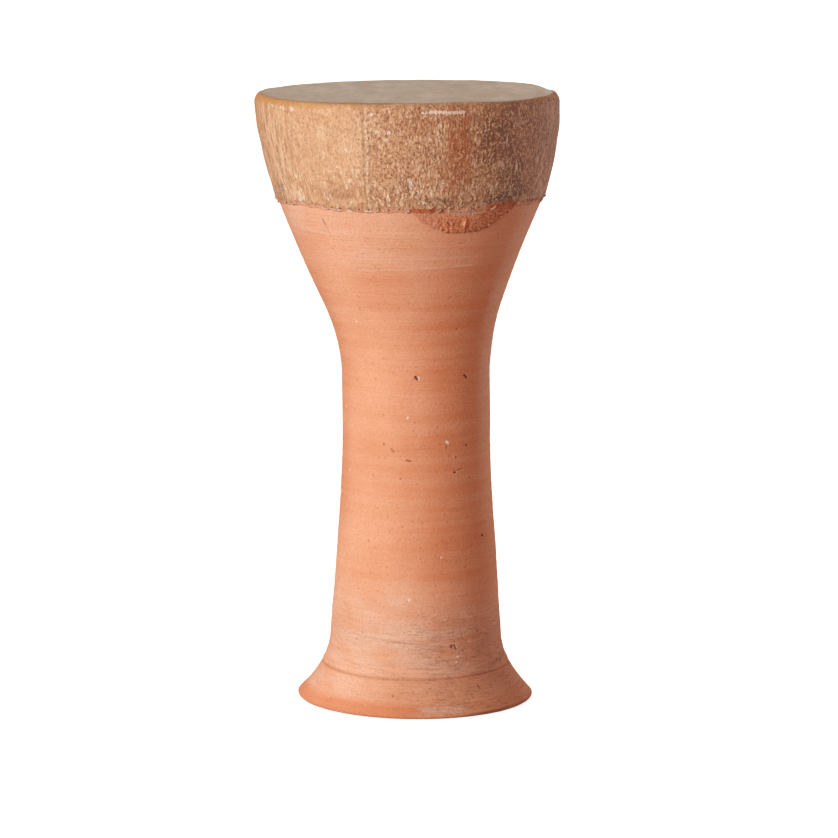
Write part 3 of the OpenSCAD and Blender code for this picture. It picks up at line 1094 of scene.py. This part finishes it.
GLUE_COLUMNS = 6 * HOLE_COUNT


def build_glue_bed():
    """The film under the hide, with the crusty bead that squeezed out along its edge."""
    turn = wrapped(np.arange(GLUE_COLUMNS) * 2 * math.pi / GLUE_COLUMNS)
    edge = SKIRT_Z + edge_shift(turn)
    bead = MM * np.maximum(0.2, 0.5 + 0.7 * uneven(turn, 70, 121))
    bead += MM * 1.4 * sector(turn, 48, 66, 5) * (0.5 + 0.5 * uneven(turn, 60, 124))
    proud = MM * np.maximum(0.08, 0.2 + 0.5 * uneven(turn, 110, 127))
    film = 0.9 * GLUE_T
    sunk = 0.1 * MM
    land_r = RIM_R - WALL_T + 2 * MM
    corner_r = RIM_R - RIM_CORNER
    path = [
        (clay_r(edge - bead) - 3 * sunk, edge - bead),
        (clay_r(edge - bead) + 0.4 * proud, edge - 0.85 * bead),
        (clay_r(edge - 0.5 * bead) + proud, edge - 0.45 * bead),
        (clay_r(edge) + np.minimum(proud, HIDE_T) * 0.9 + 0.2 * MM, edge - 0.05 * MM),
        (clay_r(edge + 0.4 * MM) + film, edge + 0.5 * MM),
    ]
    path += [(clay_r(z) + film, z) for z in evenly(SKIRT_Z + 6 * MM, RIM_EDGE_Z, 7)]
    path += corner(corner_r, RIM_EDGE_Z, RIM_CORNER + film, 0, 90, 3)
    path += [(land_r, CLAY_HIGH.z + film), (land_r, CLAY_HIGH.z - sunk)]
    path += corner(corner_r, RIM_EDGE_Z, RIM_CORNER - sunk, 90, 0, 3)
    path += [(clay_r(z) - sunk, z) for z in evenly(RIM_EDGE_Z, SKIRT_Z + 6 * MM, 7)]
    points = np.concatenate([round_points(r, turn, z) for r, z in path])
    faces = ring_faces(len(path), GLUE_COLUMNS, closed=True)
    look = glue_look("old_glue", (0.68, 0.32, 0.17), (0.78, 0.43, 0.26))
    piece = make_piece("glue_bed_film", as_thrown(points), faces, look, "glue_bed")
    crust = np.zeros((len(path), GLUE_COLUMNS))
    crust[1:4] = step(uneven(turn, 90, 131), 0.1, 0.5)
    paint(piece.data, "crust", crust.ravel())
    paint(piece.data, "dust", np.zeros(crust.size))
    return piece


# The smear's lower edge, as (turn in degrees, height in mm)
SMEAR_EDGE = (
    (0, 351), (2, 348.5), (5, 343.5), (11, 338.5), (16, 335.5), (21, 334.4), (26, 334.2), (32, 335.4),
    (38, 337.5), (42, 341), (47, 345), (51, 350),
)
SMEAR_COLUMNS, SMEAR_ROWS = 170, 40


def build_smear():
    """The crust of glue and clay dust that ran down below the hide, to the right of the front."""
    share, down = np.meshgrid(np.linspace(0, 1, SMEAR_COLUMNS), np.linspace(0, 1, SMEAR_ROWS))
    first, last = SMEAR_EDGE[0][0], SMEAR_EDGE[-1][0]
    turn = (first + (last - first) * share) * DEG
    top = SKIRT_Z + edge_shift(turn) + 1.5 * MM
    low = line_through(SMEAR_EDGE, turn, DEG, MM)
    low = low + (0.7 * uneven(turn, 120, 141) + 0.5 * uneven(turn, 500, 144, 2)) * MM
    z = top + (low - top) * down
    margin = np.minimum.reduce([(1 - down) * (top - low), share * 0.08, (1 - share) * 0.08])
    body = step(margin, 0, 0.8 * MM)
    bead = hump(margin, 1.4 * MM, 1.1 * MM) * step(turn, 4 * DEG, 12 * DEG)
    lumps = rough(turn, z, 300, 1.9, 147, 3)
    coarse = rough(turn, z, 90, 7, 150)
    lens = ((turn - 24.5 * DEG) / (10 * DEG)) ** 2 + ((z - 352 * MM) / (5 * MM)) ** 2
    lens = step(lens * (1 + 0.2 * lumps), 1.1, 0.85)
    clod = sector(turn, 13, 23, 3) * band(z, 334, 346, 3)
    rubble = 0.26 * lumps + 0.12 * coarse + 0.40 * bead * (1 + 0.9 * lumps)
    thick = body * (0.42 + (1 - 0.85 * lens) * rubble - 0.2 * lens)
    thick += body * clod * 0.5 * np.maximum(0, lumps + 0.2)
    drip = hump((turn - 25.2 * DEG) * 0.09, 0, 0.8 * MM) * band(z, 338, 345, 1.0)
    thick += 1.3 * drip * (0.75 + 0.5 * ridge(z, 339, 2) + 0.4 * ridge(z, 345, 1))
    surface = clay_r(z) + (thick + 0.05 * body) * MM
    buried = clay_r(z) - 0.35 * MM
    points = np.concatenate([round_points(r, turn, z).reshape(-1, 3) for r in (surface, buried)])
    index = np.arange(turn.size).reshape(turn.shape)
    faces = []
    for a in index[:-1, :-1].ravel().tolist():
        quad = (a, a + SMEAR_COLUMNS, a + SMEAR_COLUMNS + 1, a + 1)
        faces += [quad, tuple(turn.size + q for q in reversed(quad))]
    rim = [*index[0], *index[1:, -1], *index[-1, -2::-1], *index[-2:0:-1, 0]]
    rim = [int(i) for i in rim]
    faces += [(a, b, turn.size + b, turn.size + a) for a, b in zip(rim, rim[1:] + rim[:1])]
    look = glue_look("smeared_glue", (0.72, 0.235, 0.10), (0.84, 0.36, 0.18))
    piece = make_piece("glue_smear_crust", as_thrown(points), faces, look, "glue_smear")
    crust = (0.7 * bead + 0.5 * clod) * step(lumps, 0.2, -0.3) + 0.4 * step(turn, 22 * DEG, 38 * DEG)
    crust = crust * (1 - lens) * (1 - drip)
    # Paler towards the smear's left end: partly clay dust, partly painted light on the end that is lit
    # more strongly.
    dust_and_lit_end = step(turn, 19 * DEG, 8 * DEG) * (0.35 + 0.5 * step(coarse, -0.2, 0.3))
    paint(piece.data, "crust", np.tile(crust.ravel(), 2))
    paint(piece.data, "dust", np.tile(np.maximum(lens, dust_and_lit_end).ravel(), 2))
    return piece


# ---- the thread ends

THREAD_R = 0.5 * MM
PLY_SIDES = 7


def tube(path, radii, faces, points):
    """Adds a closed tube along a path of points to the lists of points and faces."""
    first = len(points)
    path = [Vector(p) for p in path]
    sideways = None
    for k, place in enumerate(path):
        ahead = (path[min(k + 1, len(path) - 1)] - path[max(k - 1, 0)]).normalized()
        if sideways is None:
            sideways = ahead.orthogonal().normalized()
        sideways = (sideways - ahead * sideways.dot(ahead)).normalized()
        across = ahead.cross(sideways)
        for s in range(PLY_SIDES):
            a = 2 * math.pi * s / PLY_SIDES
            points.append(place + radii[k] * (sideways * math.cos(a) + across * math.sin(a)))
    faces += ring_faces(len(path), PLY_SIDES, first)
    last = first + (len(path) - 1) * PLY_SIDES
    faces.append(tuple(range(first, first + PLY_SIDES))[::-1])
    faces.append(tuple(range(last, last + PLY_SIDES)))


def build_threads():
    """The cut ends of the lacing, each of two twisted plies, curling along the hide's edge."""
    rng = np.random.default_rng(161)
    points, faces = [], []
    steps = 22
    for k in range(0, HOLE_COUNT, HOLES_PER_END):
        at = wrapped(k * HOLE_PITCH + math.pi / 2)
        edge = float(SKIRT_Z + edge_shift(np.array([at]))[0])
        hole_z = edge + HOLE_RISE
        base = float(clay_r(hole_z))
        sideways = rng.choice([-1, 1]) * rng.uniform(0.7, 1)
        drop, curl = rng.uniform(1.2, 2.4) * MM, rng.uniform(2.5, 4.5) * MM
        out = GLUE_T + rng.uniform(1.2, 1.8) * MM
        middle = []
        for s in np.linspace(0, 1, steps):
            bend = step(s, 0.12, 0.5)
            fall = step(s, 0.2, 1.0)
            r = base + 0.3 * MM + (out - 0.3 * MM) * step(s, -0.1, 0.38)
            r -= 0.9 * MM * step(s, 0.5, 1.0) * bend
            z = hole_z - drop * fall
            r -= float(clay_r(hole_z) - clay_r(z)) * 0.6
            turn = at + sideways * curl * fall**1.5 / base
            middle.append(Vector((r * math.sin(turn), -r * math.cos(turn), z)))
        for ply in (0, 1):
            path, radii = [], []
            for i, place in enumerate(middle):
                s = i / (steps - 1)
                ahead = (middle[min(i + 1, steps - 1)] - middle[max(i - 1, 0)]).normalized()
                side = ahead.cross(Vector((0.3, 0.2, 1))).normalized()
                over = ahead.cross(side)
                a = math.pi * ply + s * 9
                fray = 1 + 1.6 * float(step(s, 0.86, 1.0))
                path.append(place + 0.45 * THREAD_R * fray * (side * math.cos(a) + over * math.sin(a)))
                radii.append(THREAD_R * 0.55 * (1 - 0.55 * float(step(s, 0.88, 1.0))))
            tube(path, radii, faces, points)
    spots = as_thrown(np.array([tuple(p) for p in points]))
    return make_piece("thread_ends", spots, faces, thread_look(), "lacing_ends")


# ---- stage, light and camera

def build_stage():
    """A pale floor that curves up into a backdrop."""
    front, back, bend_r, top, half = -20.0, 1.6, 1.2, 5.0, 6.0
    profile = [(front, 0.0), (back, 0.0)]
    for a in np.linspace(0, math.pi / 2, 25)[1:]:
        profile.append((back + bend_r * math.sin(a), bend_r * (1 - math.cos(a))))
    profile.append((back + bend_r, top))
    points = [(x, y, z) for y, z in profile for x in (-half, half)]
    faces = [(2 * k, 2 * k + 1, 2 * k + 3, 2 * k + 2) for k in range(len(profile) - 1)]
    material = Look("light_table").wear(
        Base_Color=(0.92, 0.92, 0.92), Roughness=0.9, Specular_IOR_Level=0.1,
        Emission_Color=(1, 1, 1), Emission_Strength=0.75,
    )
    sweep = make_mesh("sweep", points, faces, material)
    sweep.visible_diffuse = False
    sweep.visible_glossy = False


def add_light(name, place, aim, size, power, colour):
    light = bpy.data.lights.new(name, "AREA")
    light.shape = "DISK"
    light.size = size
    light.energy = power
    light.color = colour
    lamp = make_object(name, light)
    lamp.location = place
    lamp.rotation_euler = (Vector(aim) - Vector(place)).to_track_quat("-Z", "Y").to_euler()


def build_light():
    world = bpy.data.worlds.new("studio")
    world.use_nodes = True
    background = world.node_tree.nodes["Background"]
    background.inputs["Color"].default_value = (1.0, 0.53, 0.40, 1.0)
    background.inputs["Strength"].default_value = 0.38
    bpy.context.scene.world = world
    middle = (0, 0, DRUM_H / 2)
    add_light("key", (-1.68, -1.96, 0.56), middle, 1.2, 61, (1.0, 1.0, 1.0))
    add_light("edge", (2.22, 1.28, 0.18), middle, 1.2, 20, (1.0, 1.0, 1.05))
    add_light("top", (-0.8, 1.2, 2.7), middle, 1.4, 28, (1.0, 1.0, 1.0))


def build_camera():
    """The view of the photograph: nearly level, from far off, with a long lens."""
    camera = bpy.data.cameras.new("camera")
    camera.sensor_width = 36
    camera.lens = 180.9
    camera.clip_end = 100
    eye = make_object("camera", camera)
    eye.location = (5.3 * MM, -2.9, 0.6585)
    eye.rotation_euler = ((90 - 9.06) * DEG, 0, 0)
    bpy.context.scene.camera = eye


bpy.context.scene.view_settings.view_transform = "Standard"
build_camera()
build_light()
build_stage()
shell = build_clay()
hide = build_hide()
build_glue_bed()
build_smear()
build_threads()
